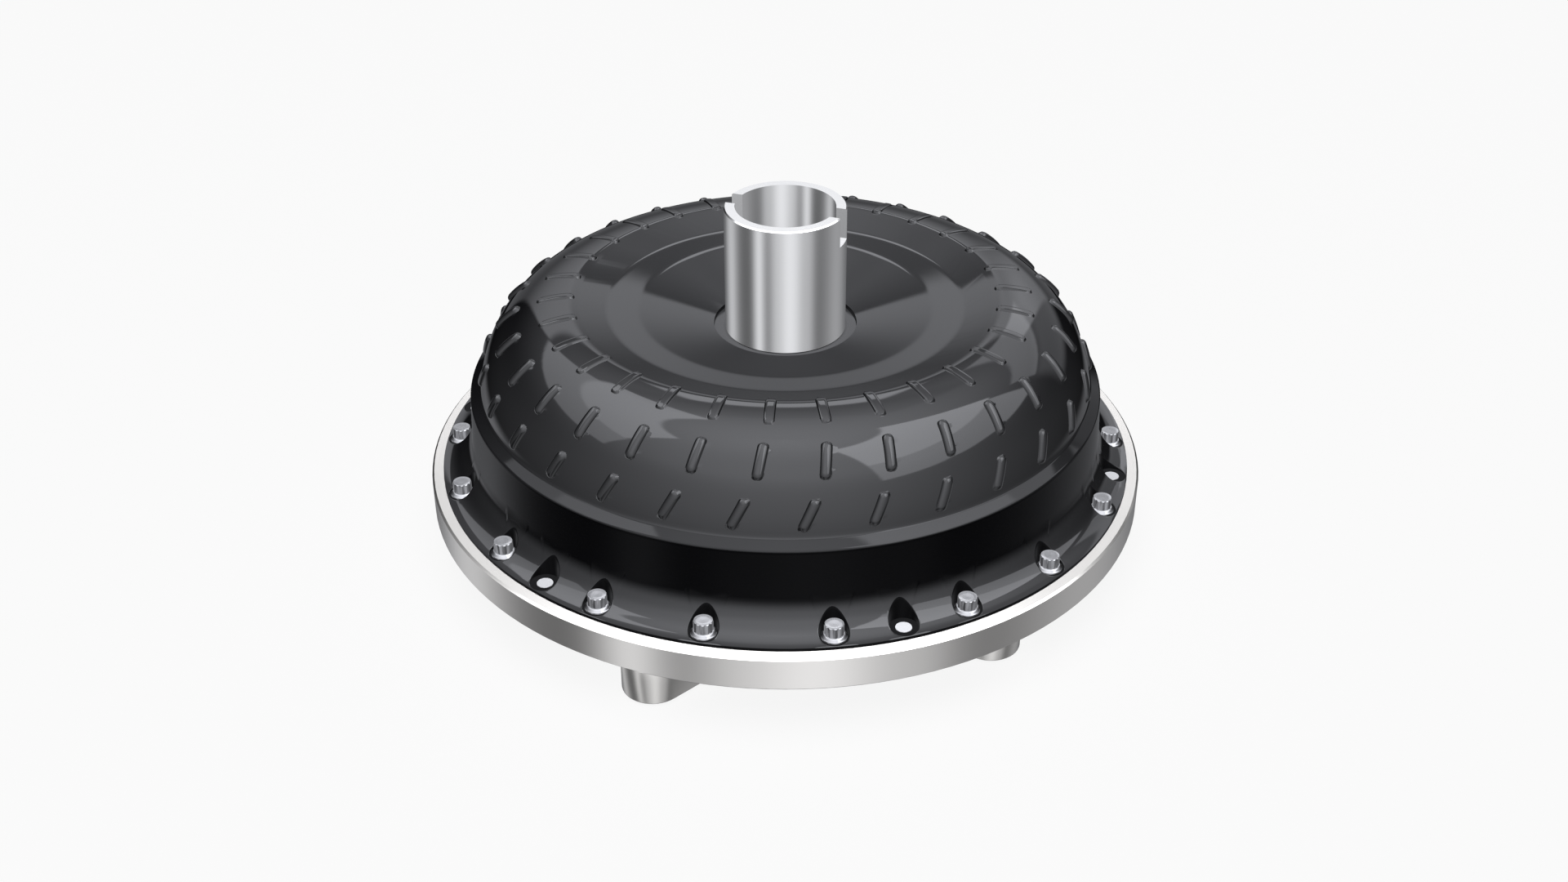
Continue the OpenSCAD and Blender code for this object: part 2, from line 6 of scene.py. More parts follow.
import bmesh
import bpy
import numpy as np
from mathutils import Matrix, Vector


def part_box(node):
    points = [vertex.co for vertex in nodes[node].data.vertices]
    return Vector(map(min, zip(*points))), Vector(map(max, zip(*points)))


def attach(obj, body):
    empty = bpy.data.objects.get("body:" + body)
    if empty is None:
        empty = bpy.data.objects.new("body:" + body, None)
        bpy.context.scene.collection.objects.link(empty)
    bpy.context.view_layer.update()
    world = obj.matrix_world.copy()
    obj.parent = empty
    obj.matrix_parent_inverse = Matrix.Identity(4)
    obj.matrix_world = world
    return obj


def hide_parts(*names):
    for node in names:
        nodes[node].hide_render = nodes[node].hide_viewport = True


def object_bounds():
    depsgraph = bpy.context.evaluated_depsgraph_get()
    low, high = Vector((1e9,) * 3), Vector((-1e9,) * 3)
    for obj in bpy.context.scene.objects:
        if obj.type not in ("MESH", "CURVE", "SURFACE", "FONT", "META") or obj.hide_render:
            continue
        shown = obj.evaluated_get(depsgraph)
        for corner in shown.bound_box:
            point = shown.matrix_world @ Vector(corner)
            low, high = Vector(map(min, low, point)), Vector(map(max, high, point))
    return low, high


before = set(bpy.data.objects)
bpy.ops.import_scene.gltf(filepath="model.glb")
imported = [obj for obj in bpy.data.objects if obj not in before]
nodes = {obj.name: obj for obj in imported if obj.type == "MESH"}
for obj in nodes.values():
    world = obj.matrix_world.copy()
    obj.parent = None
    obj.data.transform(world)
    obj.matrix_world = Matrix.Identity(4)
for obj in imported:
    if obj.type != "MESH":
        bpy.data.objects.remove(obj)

MM = 0.001
cad_low, cad_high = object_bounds()


def mm(value):
    """A length in metres as millimetres, rounded to the tenth that the CAD works in."""
    return round(value / MM, 1)


# ---------------------------------------------------------------- dimensions, from the frame, in mm

ring_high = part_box("front_cover")[1]
pin_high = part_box("dowel_pins")[1]
RING_R = mm(ring_high.x)
RING_TOP = mm(ring_high.z)
POCKET_FLOOR = mm(pin_high.z)

# The pressed shell's flange, the concave fillet on it, the wall and the shoulder
FLANGE_R = RING_R - 4.7
FLANGE_TOP = RING_TOP + 1.2
FLANGE_SEAT = RING_TOP - 3.0
WALL_R = FLANGE_R - 12.6
WALL_TOP_R = WALL_R - 0.8
FILLET_RISE = 14.4
SHOULDER_Z = RING_TOP + 33.0
SHELL_T = 4.0
# The spigot below the flange, with the seal's groove
SPIGOT_R = WALL_R + 0.2
SPIGOT_BOTTOM = FLANGE_SEAT - 4.2
GROOVE_DEPTH = 2
# The bowl: part of a superellipse round a centre line inside the crest, with its base below the shoulder
CREST_R = 84.9
CREST_Z = RING_TOP + 69.9
BOWL_CENTRE_R = CREST_R - 4.9
BOWL_R = WALL_R - 4.2
BOWL_BASE_Z = CREST_Z - 48.7
BOWL_POWER = 2 / 2.45
BOWL_START = 13.1
CREST_SHARE = (CREST_R - BOWL_CENTRE_R) / (BOWL_R - BOWL_CENTRE_R)
BOWL_END = math.degrees(math.acos(CREST_SHARE ** (1 / BOWL_POWER)))
# Inside the crest: a slope to the valley, a low rim, and a dish down to the recess round the hub
VALLEY = (70.4, CREST_Z - 4.6)
DISH_RIM = (58.0, CREST_Z - 5.8)
RECESS_R = 28.3
RECESS_TOP = CREST_Z - 13.1
HUB_SEAT = RECESS_TOP - 1.7
HUB_HOLE_R = 24.5
HUB_FLANGE_R = 34.8

# Angles in degrees. The pattern of lugs, bolts and pins repeats in each sector.
LUG_ANGLE = 8.4
SECTOR = 60
SECTORS = 360 // SECTOR
BOLT_ANGLES = (-9, 9, 29)
DOWEL_ANGLE = 40
BOLT_CIRCLE_R = WALL_R + 6.55
POCKET_R = 5.4
BOLT_HOLE_R = 3.2
DOWEL_HOLE_R = 3.05

BEAD_COUNT = 30
BEAD_PERIOD = 360 / BEAD_COUNT
# Rows of beads: radius, phase and skew in degrees, length, height, and the width of the rounding at the
# rim (0 for a full dome)
BEAD_ROWS = [
    {"radius": 119.7, "phase": -2.0, "skew": 26, "length": 12.8, "height": 1.7, "rim": 0},
    {"radius": 109.9, "phase": 1.4, "skew": 8, "length": 13.8, "height": 1.6, "rim": 0},
    {"radius": 90.2, "phase": 2.5, "skew": 0, "length": 15.4, "height": 0.7, "rim": 0.6},
]
BEAD_HALF = 2.1
# Distances from a bead's middle line at which its surface is sampled, closer together towards its foot
BEAD_SAMPLES = (0, 0.75, 1.3, 1.65, 1.9, 2.05, BEAD_HALF + 0.01, 2.3)


# ---------------------------------------------------------------- mesh helpers

def new_object(name, verts, faces, body, materials, smooth_angle=32):
    """A mesh object from mm vertices, riding on a CAD body."""
    mesh = bpy.data.meshes.new(name)
    mesh.from_pydata([tuple(v) for v in np.asarray(verts) * MM], [], [tuple(f) for f in faces])
    mesh.validate()
    obj = bpy.data.objects.new(name, mesh)
    bpy.context.scene.collection.objects.link(obj)
    for m in materials:
        mesh.materials.append(m)
    smooth_up_to(obj, smooth_angle)
    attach(obj, body)
    return obj


def smooth_up_to(obj, degrees):
    """Smooth shading, except across edges that turn by more than an angle."""
    bm = bmesh.new()
    bm.from_mesh(obj.data)
    bmesh.ops.recalc_face_normals(bm, faces=bm.faces)
    limit = math.radians(degrees)
    for face in bm.faces:
        face.smooth = True
    for edge in bm.edges:
        edge.smooth = len(edge.link_faces) == 2 and edge.calc_face_angle() < limit
    bm.to_mesh(obj.data)
    bm.free()


def spow(x):
    """Signed power of the bowl's superellipse."""
    return math.copysign(abs(x) ** BOWL_POWER, x)


def bowl_point(degrees, inset=0.0):
    """A point (radius, height) on the bowl's superellipse, or on one that lies inset mm inside it."""
    t = math.radians(degrees)
    return (BOWL_CENTRE_R + (BOWL_R - BOWL_CENTRE_R - inset) * spow(math.cos(t)),
            BOWL_BASE_Z + (CREST_Z - BOWL_BASE_Z - inset) * spow(math.sin(t)))


def rounded(points, radius, steps=4):
    """A polyline with each inner corner replaced by a short curve that starts radius away from it."""
    out = [points[0]]
    for before, corner, after in zip(points, points[1:], points[2:]):
        a, b, c = (np.array(p, float) for p in (before, corner, after))
        cut_in = min(radius, 0.45 * np.linalg.norm(a - b))
        cut_out = min(radius, 0.45 * np.linalg.norm(c - b))
        start = b + (a - b) / np.linalg.norm(a - b) * cut_in
        end = b + (c - b) / np.linalg.norm(c - b) * cut_out
        for i in range(steps + 1):
            t = i / steps
            out.append(tuple((1 - t) ** 2 * start + 2 * t * (1 - t) * b + t ** 2 * end))
    out.append(points[-1])
    return out


def resampled(points, step):
    """The polyline with its long stretches cut into pieces no longer than step."""
    out = [points[0]]
    for a, b in zip(points, points[1:]):
        count = max(1, math.ceil(math.dist(a, b) / step))
        for i in range(1, count + 1):
            out.append(tuple(p + (q - p) * i / count for p, q in zip(a, b)))
    return out


# ---------------------------------------------------------------- the housing shell

COLUMNS = 720
COLUMNS_PER_BEAD = COLUMNS // BEAD_COUNT
EVEN_DEGREES = LUG_ANGLE + np.arange(COLUMNS) * 360 / COLUMNS
EVEN_ANGLES = np.radians(EVEN_DEGREES)
# A pocket's patch reaches this many columns to each side of it
POCKET_SPAN = 7
FLANGE_ROWS = 12
# Spacing of the bowl's rings: even steps, no closer than the gap to a crowded ring
RING_STEP = 0.7
RING_GAP = 0.3
# Distance inside the last row of beads over which the columns ease back to an even spacing
EASE_LENGTH = 12


class ShellMesh:
    """Vertices and faces, added loop by loop. The dark faces get a near-black that barely reflects: painted
    shade in the pockets and the hub's recess, and the same near-black on the flange's rim.
    """

    def __init__(self):
        self.verts, self.faces, self.shade_painted_faces = [], [], []

    def loop(self, points):
        """Adds a closed loop of vertices and returns their indices."""
        start = len(self.verts)
        self.verts.extend(np.array(p) for p in points)
        return list(range(start, len(self.verts)))

    def ring(self, r, z, angles=EVEN_ANGLES, lift=0.0, normal=(0, 0)):
        """Adds a loop of all the columns, raised by lift along the outline's normal."""
        rr, zz = r + lift * normal[0], z + lift * normal[1]
        return self.loop(np.stack([rr * np.cos(angles), rr * np.sin(angles), zz + 0 * angles], 1))

    def join(self, lower, upper, dark=False):
        """Adds the faces between two loops."""
        into = self.shade_painted_faces if dark else self.faces
        for i in range(len(lower)):
            j = (i + 1) % len(lower)
            into.append((lower[i], lower[j], upper[j], upper[i]))

    def pierced_band(self, rows, covered):
        """A band of rings, left open at the covered columns, with no vertices inside a pocket's patch."""
        grid = [self.ring(*rows[0])]
        for r, z in rows[1:-1]:
            line = [None] * COLUMNS
            for i in range(COLUMNS):
                if not (covered[i] and covered[i - 1]):
                    line[i] = len(self.verts)
                    angle = EVEN_ANGLES[i]
                    self.verts.append(np.array([r * math.cos(angle), r * math.sin(angle), z]))
            grid.append(line)
        grid.append(self.ring(*rows[-1]))
        for a, b in zip(grid, grid[1:]):
            for i in range(COLUMNS):
                if not covered[i]:
                    j = (i + 1) % COLUMNS
                    self.faces.append((a[i], a[j], b[j], b[i]))
        return grid


def patch_edge(grid, column):
    """The vertices of a band's grid round the patch of the pocket at a column, in order."""
    left, right = (column - POCKET_SPAN) % COLUMNS, (column + POCKET_SPAN) % COLUMNS
    across = [(column + i) % COLUMNS for i in range(-POCKET_SPAN, POCKET_SPAN + 1)]
    edge = [grid[0][c] for c in across]
    edge += [row[right] for row in grid[1:-1]]
    edge += [grid[-1][c] for c in reversed(across)]
    edge += [row[left] for row in reversed(grid[1:-1])]
    return edge


def fillet_point(share):
    """A point on the flange's concave fillet: share 0 at the flange's edge, 1 at the foot of the wall."""
    t = math.radians(90 * share)
    return (FLANGE_R - (FLANGE_R - WALL_R) * math.sin(t), FLANGE_TOP + FILLET_RISE * (1 - math.cos(t)))


def fillet_height(r):
    """Height of the fillet's surface at a radius."""
    across = min(1.0, max(0.0, (FLANGE_R - r) / (FLANGE_R - WALL_R)))
    return FLANGE_TOP + FILLET_RISE * (1 - math.sqrt(1 - across * across))


def pocket_stages(hole_r):
    """A pocket's loops from its rim down to the floor and through the hole, as (radius, height). A height
    that follows the fillet is a function of the distance from the shell's axis."""
    return [
        (POCKET_R + 0.28, fillet_height),
        (POCKET_R + 0.06, lambda r: max(POCKET_FLOOR + 0.06, fillet_height(r) - 0.1)),
        (POCKET_R, lambda r: max(POCKET_FLOOR + 0.03, fillet_height(r) - 0.32)),
        (POCKET_R, lambda r: POCKET_FLOOR + 0.5 * max(0.02, fillet_height(r) - 0.32 - POCKET_FLOOR)),
        (POCKET_R, POCKET_FLOOR),
        (POCKET_R - 0.3, POCKET_FLOOR),
        (hole_r + 0.2, POCKET_FLOOR),
        (hole_r, POCKET_FLOOR - 0.2),
        (hole_r, FLANGE_SEAT + 0.2),
        (hole_r + 0.2, FLANGE_SEAT),
    ]


def add_pocket(mesh, top, seat, column, hole_r):
    """One spot-faced pocket, from the patch in the flange's top down to the patch in its seat."""
    angle = EVEN_ANGLES[column]
    centre = np.array([BOLT_CIRCLE_R * math.cos(angle), BOLT_CIRCLE_R * math.sin(angle)])
    previous = patch_edge(top, column)
    offsets = [np.array(mesh.verts[i][:2]) - centre for i in previous]
    directions = [o / np.linalg.norm(o) for o in offsets]
    # On the fillet, from the patch's square outline to the pocket's round one
    for share in (0.72, 0.42, 0.16):
        places = [centre + d * (POCKET_R + 0.25 + (np.linalg.norm(o) - POCKET_R - 0.25) * share)
                  for o, d in zip(offsets, directions)]
        current = mesh.loop([(x, y, fillet_height(math.hypot(x, y))) for x, y in places])
        mesh.join(previous, current)
        previous = current
    for radius, height in pocket_stages(hole_r):
        places = [(centre[0] + radius * d[0], centre[1] + radius * d[1]) for d in directions]
        current = mesh.loop([(x, y, height(math.hypot(x, y)) if callable(height) else height)
                             for x, y in places])
        # The pocket's walls and floor get the near-black painted shade
        mesh.join(previous, current, dark=radius <= POCKET_R + 0.1)
        previous = current
    mesh.join(previous, patch_edge(seat, column), dark=True)


def add_flange(mesh):
    """The filleted top and the flat seat below it, pierced by the pockets. Returns their inner rings."""
    pockets = []
    for k in range(SECTORS):
        for a in BOLT_ANGLES + (DOWEL_ANGLE,):
            column = round((k * SECTOR + a) * COLUMNS / 360) % COLUMNS
            pockets.append((column, DOWEL_HOLE_R if a == DOWEL_ANGLE else BOLT_HOLE_R))
    covered = np.zeros(COLUMNS, bool)
    for column, _ in pockets:
        covered[[(column + i) % COLUMNS for i in range(-POCKET_SPAN, POCKET_SPAN)]] = True
    shares = [i / FLANGE_ROWS for i in range(FLANGE_ROWS + 1)]
    top = mesh.pierced_band([fillet_point(share) for share in shares], covered)
    seat = mesh.pierced_band([(FLANGE_R + (SPIGOT_R - FLANGE_R) * i / FLANGE_ROWS, FLANGE_SEAT)
                              for i in range(FLANGE_ROWS + 1)], covered)
    edge_low = mesh.ring(FLANGE_R, FLANGE_SEAT + 0.4)
    edge_high = mesh.ring(FLANGE_R, FLANGE_TOP - 0.25)
    # The flange's rim gets the near-black that stands as painted shade in the pockets
    for lower, upper in ((seat[0], edge_low), (edge_low, edge_high), (edge_high, top[0])):
        mesh.join(lower, upper, dark=True)
    for column, hole_r in pockets:
        add_pocket(mesh, top, seat, column, hole_r)
    return top[-1], seat[-1]


class Outline:
    """A line of (radius, height) points, read by the distance s along it."""

    def __init__(self, points):
        stretches = [math.dist(a, b) for a, b in zip(points, points[1:])]
        self.lengths = np.concatenate([[0], np.cumsum(stretches)])
        self.radii = np.array([p[0] for p in points])
        self.heights = np.array([p[1] for p in points])

    def at(self, s):
        return tuple(float(np.interp(s, self.lengths, values)) for values in (self.radii, self.heights))

    def distance_to(self, radius):
        """Distance along the line of its point nearest to a radius."""
        return float(self.lengths[int(np.argmin(np.abs(self.radii - radius)))])

    def normal(self, s, reach=0.3):
        """Direction away from the surface at s, from the points on both sides of it."""
        tangent = np.subtract(self.at(s + reach), self.at(s - reach))
        tangent /= np.linalg.norm(tangent)
        return tangent[1], -tangent[0]


def bowl_outline():
    """The bowl from just past its crease to the crest, then the slope, the rim and the dish. The bowl's last
    15 points give way to the rounding between it and the slope."""
    fine = [bowl_point(BOWL_START + 2 + (BOWL_END - BOWL_START - 2) * i / 400) for i in range(401)]
    crest = rounded([fine[-16], fine[-1], VALLEY], 1.2, 6)
    inner = rounded([crest[-2], VALLEY, DISH_RIM, (RECESS_R, RECESS_TOP)], 1.1, 3)
    return Outline(fine[:-16] + crest[:-1] + resampled(inner[1:], 1.4))


class BeadLayout:
    """Where the beads lie on the bowl, and the columns and rings that crowd round them."""

    def __init__(self, outline):
        self.centres, self.cap_rings = [], []
        # Ends of each row's beads: distance up the bowl, angle, the angle's slope, and 1 / cos of the skew
        self.stations = []
        for row in BEAD_ROWS:
            s = outline.distance_to(row["radius"])
            skew = math.radians(row["skew"])
            slant = math.degrees(math.tan(skew) / row["radius"])
            reach = (row["length"] / 2 - BEAD_HALF) * math.cos(skew)
            self.centres.append(s)
            for side in (-1, 1):
                end = side * (reach + BEAD_HALF)
                self.stations.append((s + end, row["phase"] + end * slant, slant, 1 / math.cos(skew)))
                self.cap_rings += [s + side * (reach + x) for x in BEAD_SAMPLES]
        self.end = self.stations[-1][0] + 2
        # Columns inside one bead's period: at the samples on both flanks, and the rest evenly between beads
        self.flank = [-x for x in reversed(BEAD_SAMPLES[1:])] + list(BEAD_SAMPLES)
        rest = COLUMNS_PER_BEAD - len(self.flank)
        self.shares = [(i + 1) / (rest + 1) for i in range(rest)]
        self.first_column = min(range(COLUMNS), key=lambda i: np.abs(self.drift(0, WALL_TOP_R, i)).max())

    def line(self, s):
        """Angle of the curve through the beads of all rows, at distance s up the bowl: straight before the
        first bead, a Hermite spline from end to end, and held level past the last one."""
        start, angle, slope, _ = self.stations[0]
        if s <= start:
            return angle + (s - start) * slope
        for (s0, a0, m0, _), (s1, a1, m1, _) in zip(self.stations, self.stations[1:]):
            if s <= s1:
                h = s1 - s0
                t = (s - s0) / h
                return ((1 + 2 * t) * (1 - t) ** 2 * a0 + t * (1 - t) ** 2 * h * m0
                        + t * t * (3 - 2 * t) * a1 + t * t * (t - 1) * h * m1)
        return self.stations[-1][1]

    def drift(self, s, r, first):
        """How far, in degrees, each even column moves to crowd round the line through the beads, at
        distance s up the bowl. Column number first of the crowded ones goes with the first even one."""
        distances, _, _, stretches = zip(*self.stations)
        mm_to_deg = math.degrees(1 / r) * np.interp(s, distances, stretches)
        reach = max(self.flank) * mm_to_deg
        one = np.array([x * mm_to_deg for x in self.flank]
                       + [reach + share * (BEAD_PERIOD - 2 * reach) for share in self.shares])
        crowded = np.concatenate([self.line(s) + k * BEAD_PERIOD + one for k in range(BEAD_COUNT)])
        return (np.roll(crowded, -first) - EVEN_DEGREES + 180) % 360 - 180

    def columns(self, s, r, crowding):
        """Angles of the columns at distance s up the bowl. crowding is 0 for even ones, 1 at the beads."""
        return EVEN_DEGREES + self.drift(s, r, self.first_column) * crowding

    def rings(self, lengths):
        """Distances of the bowl's rings, which crowd at the beads' ends."""
        even = [s for s in np.arange(0.4, self.end, RING_STEP)
                if min(abs(s - c) for c in self.cap_rings) > RING_GAP]
        return (sorted(s for s in self.cap_rings + even if s > RING_GAP)
                + [s for s in lengths if s > self.end])

    def lift(self, s, r, columns):
        """How high the beads raise each column's vertex at distance s up the bowl."""
        lift = np.zeros(COLUMNS)
        for row, centre in zip(BEAD_ROWS, self.centres):
            if abs(s - centre) <= row["length"]:
                turn = (columns - row["phase"] + BEAD_PERIOD / 2) % BEAD_PERIOD - BEAD_PERIOD / 2
                u, v = np.radians(turn) * r, s - centre
                sin, cos = math.sin(math.radians(row["skew"])), math.cos(math.radians(row["skew"]))
                lift += bead_height(u * sin + v * cos, u * cos - v * sin, row)
        return lift


def bead_height(along, across, row):
    """Height of a bead above the bowl at a point given along and across the bead."""
    straight = row["length"] / 2 - BEAD_HALF
    reach = np.hypot(np.maximum(np.abs(along) - straight, 0), across)
    if row["rim"]:
        edge = np.clip((BEAD_HALF - reach) / row["rim"], 0, 1)
        return row["height"] * edge * edge * (3 - 2 * edge)
    inside = np.clip(1 - (reach / BEAD_HALF) ** 2, 0, 1)
    return row["height"] * inside ** 0.45


def add_wall(mesh, previous, layout):
    """Wall and shoulder: the columns crowd together up the wall, ready for the beads."""
    wall = resampled([(WALL_R, fillet_point(1)[1]), (WALL_TOP_R, SHOULDER_Z - 0.9)], 1.5)
    shoulder = rounded([wall[-1], (WALL_TOP_R, SHOULDER_Z), bowl_point(BOWL_START),
                        bowl_point(BOWL_START + 2)], 0.8, 4)
    for n, (r, z) in enumerate(wall[1:] + shoulder[1:-1]):
        columns = layout.columns(0, WALL_TOP_R, min(1.0, (n + 1) / (len(wall) - 1)))
        current = mesh.ring(r, z, np.radians(columns))
        mesh.join(previous, current)
        previous = current
    return previous


def add_bowl(mesh, previous, outline, layout):
    """The bowl with its beads, then the slope and the dish."""
    for s in layout.rings(outline.lengths):
        r, z = outline.at(s)
        columns = layout.columns(s, r, min(1.0, max(0.0, 1 - (s - layout.end) / EASE_LENGTH)))
        current = mesh.ring(r, z, np.radians(columns), layout.lift(s, r, columns), outline.normal(s))
        mesh.join(previous, current)
        previous = current
    return previous


def add_inside(mesh, previous):
    """The recess round the hub, then the inside of the shell back down to the spigot and its groove."""
    inside_bowl = [bowl_point(BOWL_END - (BOWL_END - BOWL_START) * i / 24, SHELL_T) for i in range(25)]
    cavity_r = WALL_R - SHELL_T
    groove_low, groove_high = SPIGOT_BOTTOM + 0.6, SPIGOT_BOTTOM + 2.8
    recess = rounded([(RECESS_R + 0.6, RECESS_TOP + 0.15), (RECESS_R, RECESS_TOP - 0.2),
                      (RECESS_R, HUB_SEAT), (HUB_HOLE_R, HUB_SEAT)], 0.4, 3)
    under_dish = [(HUB_HOLE_R, HUB_SEAT - SHELL_T), (HUB_FLANGE_R + 0.2, HUB_SEAT - SHELL_T),
                  (DISH_RIM[0] + 0.4, DISH_RIM[1] - SHELL_T - 0.2),
                  (VALLEY[0] + 0.5, VALLEY[1] - SHELL_T - 0.1)]
    spigot = [(inside_bowl[-1][0], SHOULDER_Z - SHELL_T), (cavity_r, SHOULDER_Z - SHELL_T),
              (cavity_r, SPIGOT_BOTTOM), (SPIGOT_R, SPIGOT_BOTTOM), (SPIGOT_R, groove_low),
              (SPIGOT_R - GROOVE_DEPTH, groove_low), (SPIGOT_R - GROOVE_DEPTH, groove_high),
              (SPIGOT_R, groove_high)]
    for r, z in recess[1:] + under_dish + inside_bowl + spigot:
        current = mesh.ring(r, z)
        # The hub's recess gets the near-black painted shade
        mesh.join(previous, current, dark=RECESS_R - 0.1 < r < RECESS_R + 1)
        previous = current
    return previous


def housing_shell_mesh():
    mesh = ShellMesh()
    outline = bowl_outline()
    layout = BeadLayout(outline)
    wall_foot, seat_inner = add_flange(mesh)
    last = add_inside(mesh, add_bowl(mesh, add_wall(mesh, wall_foot, layout), outline, layout))
    mesh.join(last, seat_inner)
    return mesh


# ---------------------------------------------------------------- bolts and lugs

def flange_bolt_mesh():
    """One bolt with a 12-point head and a built-in washer, standing on z = 0, as rings of vertices."""
    washer_r, washer_t, skirt_r = 4.7, 1.0, 3.95
    head_r, head_top, chamfer = 3.72, 5.9, 0.22
    sides = 48

    def head_radius(angle, r):
        """Radius of a 12-point outline: two hexagons, 30 degrees apart, with blunted tips."""
        best = 0
        for turn in (0, 30):
            folded = (math.degrees(angle) + turn + 30) % 60 - 30
            best = max(best, r * math.cos(math.radians(30)) / math.cos(math.radians(folded)))
        return min(best, r * 0.985)

    washer = [(washer_r - 0.25, 0.0), (washer_r, 0.2), (washer_r, washer_t - 0.3),
              (washer_r - 0.3, washer_t), (skirt_r + 0.2, washer_t + 0.55), (skirt_r - 0.1, washer_t + 0.8)]
    points = [(head_r, washer_t + 0.85), (head_r, head_top - chamfer)]
    # The head's top is chamfered round, then flat with a shallow centre
    crown = [(head_r - 0.32, head_top - 0.04), (head_r - 0.5, head_top), (1.9, head_top),
             (0.4, head_top - 0.03)]
    rows = washer + points + crown
    verts, faces = [], []
    for r, z in rows:
        for i in range(sides):
            a = 2 * math.pi * i / sides
            rr = head_radius(a, r) if (r, z) in points else r
            verts.append((rr * math.cos(a), rr * math.sin(a), z))
    levels = len(rows)
    for n in range(levels - 1):
        for i in range(sides):
            j = (i + 1) % sides
            faces.append((n * sides + i, n * sides + j, (n + 1) * sides + j, (n + 1) * sides + i))
    faces.append(tuple(range((levels - 1) * sides, levels * sides)))
    faces.append(tuple(reversed(range(sides))))
    return verts, faces


def bolt_set():
    """All the flange bolts as one mesh, each on its pocket's floor."""
    verts, faces = [], []
    one_verts, one_faces = flange_bolt_mesh()
    for k in range(SECTORS):
        for n, a in enumerate(BOLT_ANGLES):
            turn = math.radians(LUG_ANGLE + k * SECTOR + a)
            # Each bolt stopped at its own angle when it was tightened
            spin = math.radians(17 * (3 * k + n) % 30)
            base = len(verts)
            for x, y, z in one_verts:
                xs = x * math.cos(spin) - y * math.sin(spin)
                ys = x * math.sin(spin) + y * math.cos(spin)
                px, py = BOLT_CIRCLE_R + xs, ys
                verts.append((px * math.cos(turn) - py * math.sin(turn),
                              px * math.sin(turn) + py * math.cos(turn), POCKET_FLOOR + z))
            faces += [tuple(base + i for i in f) for f in one_faces]
    return verts, faces


def bevelled_copy(node, name, width, angle=30):
    """A copy of a CAD node with its edges over an angle in degrees rounded, which stands for the node."""
    mesh = nodes[node].data.copy()
    mesh.name = name
    obj = bpy.data.objects.new(name, mesh)
    bpy.context.scene.collection.objects.link(obj)
    bm = bmesh.new()
    bm.from_mesh(mesh)
    bmesh.ops.remove_doubles(bm, verts=bm.verts, dist=1e-6)
    bmesh.ops.dissolve_limit(bm, angle_limit=math.radians(1), verts=bm.verts, edges=bm.edges)
    edges = [e for e in bm.edges if len(e.link_faces) == 2 and e.calc_face_angle() > math.radians(angle)]
    bmesh.ops.bevel(bm, geom=edges, offset=width * MM, offset_type="OFFSET", segments=3, profile=0.5,
                    affect="EDGES", clamp_overlap=True)
    bm.to_mesh(mesh)
    bm.free()
    if "custom_normal" in mesh.attributes:
        mesh.attributes.remove(mesh.attributes["custom_normal"])
    smooth_up_to(obj, 32)
    return obj


# ---------------------------------------------------------------- materials

class Nodes:
    """A short way to write node expressions: each call adds a node and returns its output."""

    def __init__(self, tree):
        self.tree = tree

    def add(self, kind, inputs=None, **settings):
        node = self.tree.nodes.new(kind)
        for key, value in settings.items():
            setattr(node, key, value)
        for key, value in (inputs or {}).items():
            if isinstance(value, bpy.types.NodeSocket):
                self.tree.links.new(value, node.inputs[key])
            else:
                node.inputs[key].default_value = value
        return node

    def math(self, operation, a, b=0.0, c=0.0, clamp=False):
        node = self.add("ShaderNodeMath", {0: a, 1: b, 2: c}, operation=operation, use_clamp=clamp)
        return node.outputs[0]

    def fade(self, value, low, high, out_low=0.0, out_high=1.0):
        node = self.add("ShaderNodeMapRange", {"Value": value, "From Min": low, "From Max": high,
                                               "To Min": out_low, "To Max": out_high},
                        interpolation_type="SMOOTHSTEP", clamp=True)
        return node.outputs["Result"]

    def noise(self, vector, scale, detail=2.0, roughness=0.5):
        node = self.add("ShaderNodeTexNoise", {"Vector": vector, "Scale": scale, "Detail": detail,
                                               "Roughness": roughness})
        return node.outputs["Fac"]

    def mix(self, factor, a, b):
        node = self.add("ShaderNodeMix", {0: factor, 6: a, 7: b}, data_type="RGBA")
        return node.outputs[2]


def lathe_space(n):
    """Object coordinates, the same as (radius, height, small share of the way round) for turning marks,
    and z."""
    place = n.add("ShaderNodeTexCoord").outputs["Object"]
    xyz = n.add("ShaderNodeSeparateXYZ", {0: place})
    x, y, z = (xyz.outputs[i] for i in range(3))
    radius = n.math("SQRT", n.math("ADD", n.math("MULTIPLY", x, x), n.math("MULTIPLY", y, y)))
    around = n.math("MULTIPLY", n.math("ARCTAN2", y, x), 0.0006)
    return place, n.add("ShaderNodeCombineXYZ", {0: radius, 1: z, 2: around}).outputs[0], z


def rgba(colour):
    return (*colour, 1.0)


PAINT_BLACK = (0.0045, 0.0045, 0.0055)
# Noise behind each grain: scale, detail and roughness. Turned grain follows the lathe's marks.
GRAINS = {"turned": (2600, 2, 0.6), "cast": (900, 4, 0.62), "sheet": (420, 3, 0.55), "plain": (260, 2, 0.5)}
# How far the paint's reflection is dimmed on the wall's band, and on the edge above it: painted shade for
# the wall beside the flange and for the ledge
WALL_PAINTED_SHADE = 0.88
EDGE_PAINTED_SHADE = 0.5
FINE_RELIEF = 0.01 * MM
RELIEF = 0.02 * MM
CAST_RELIEF = 0.05 * MM


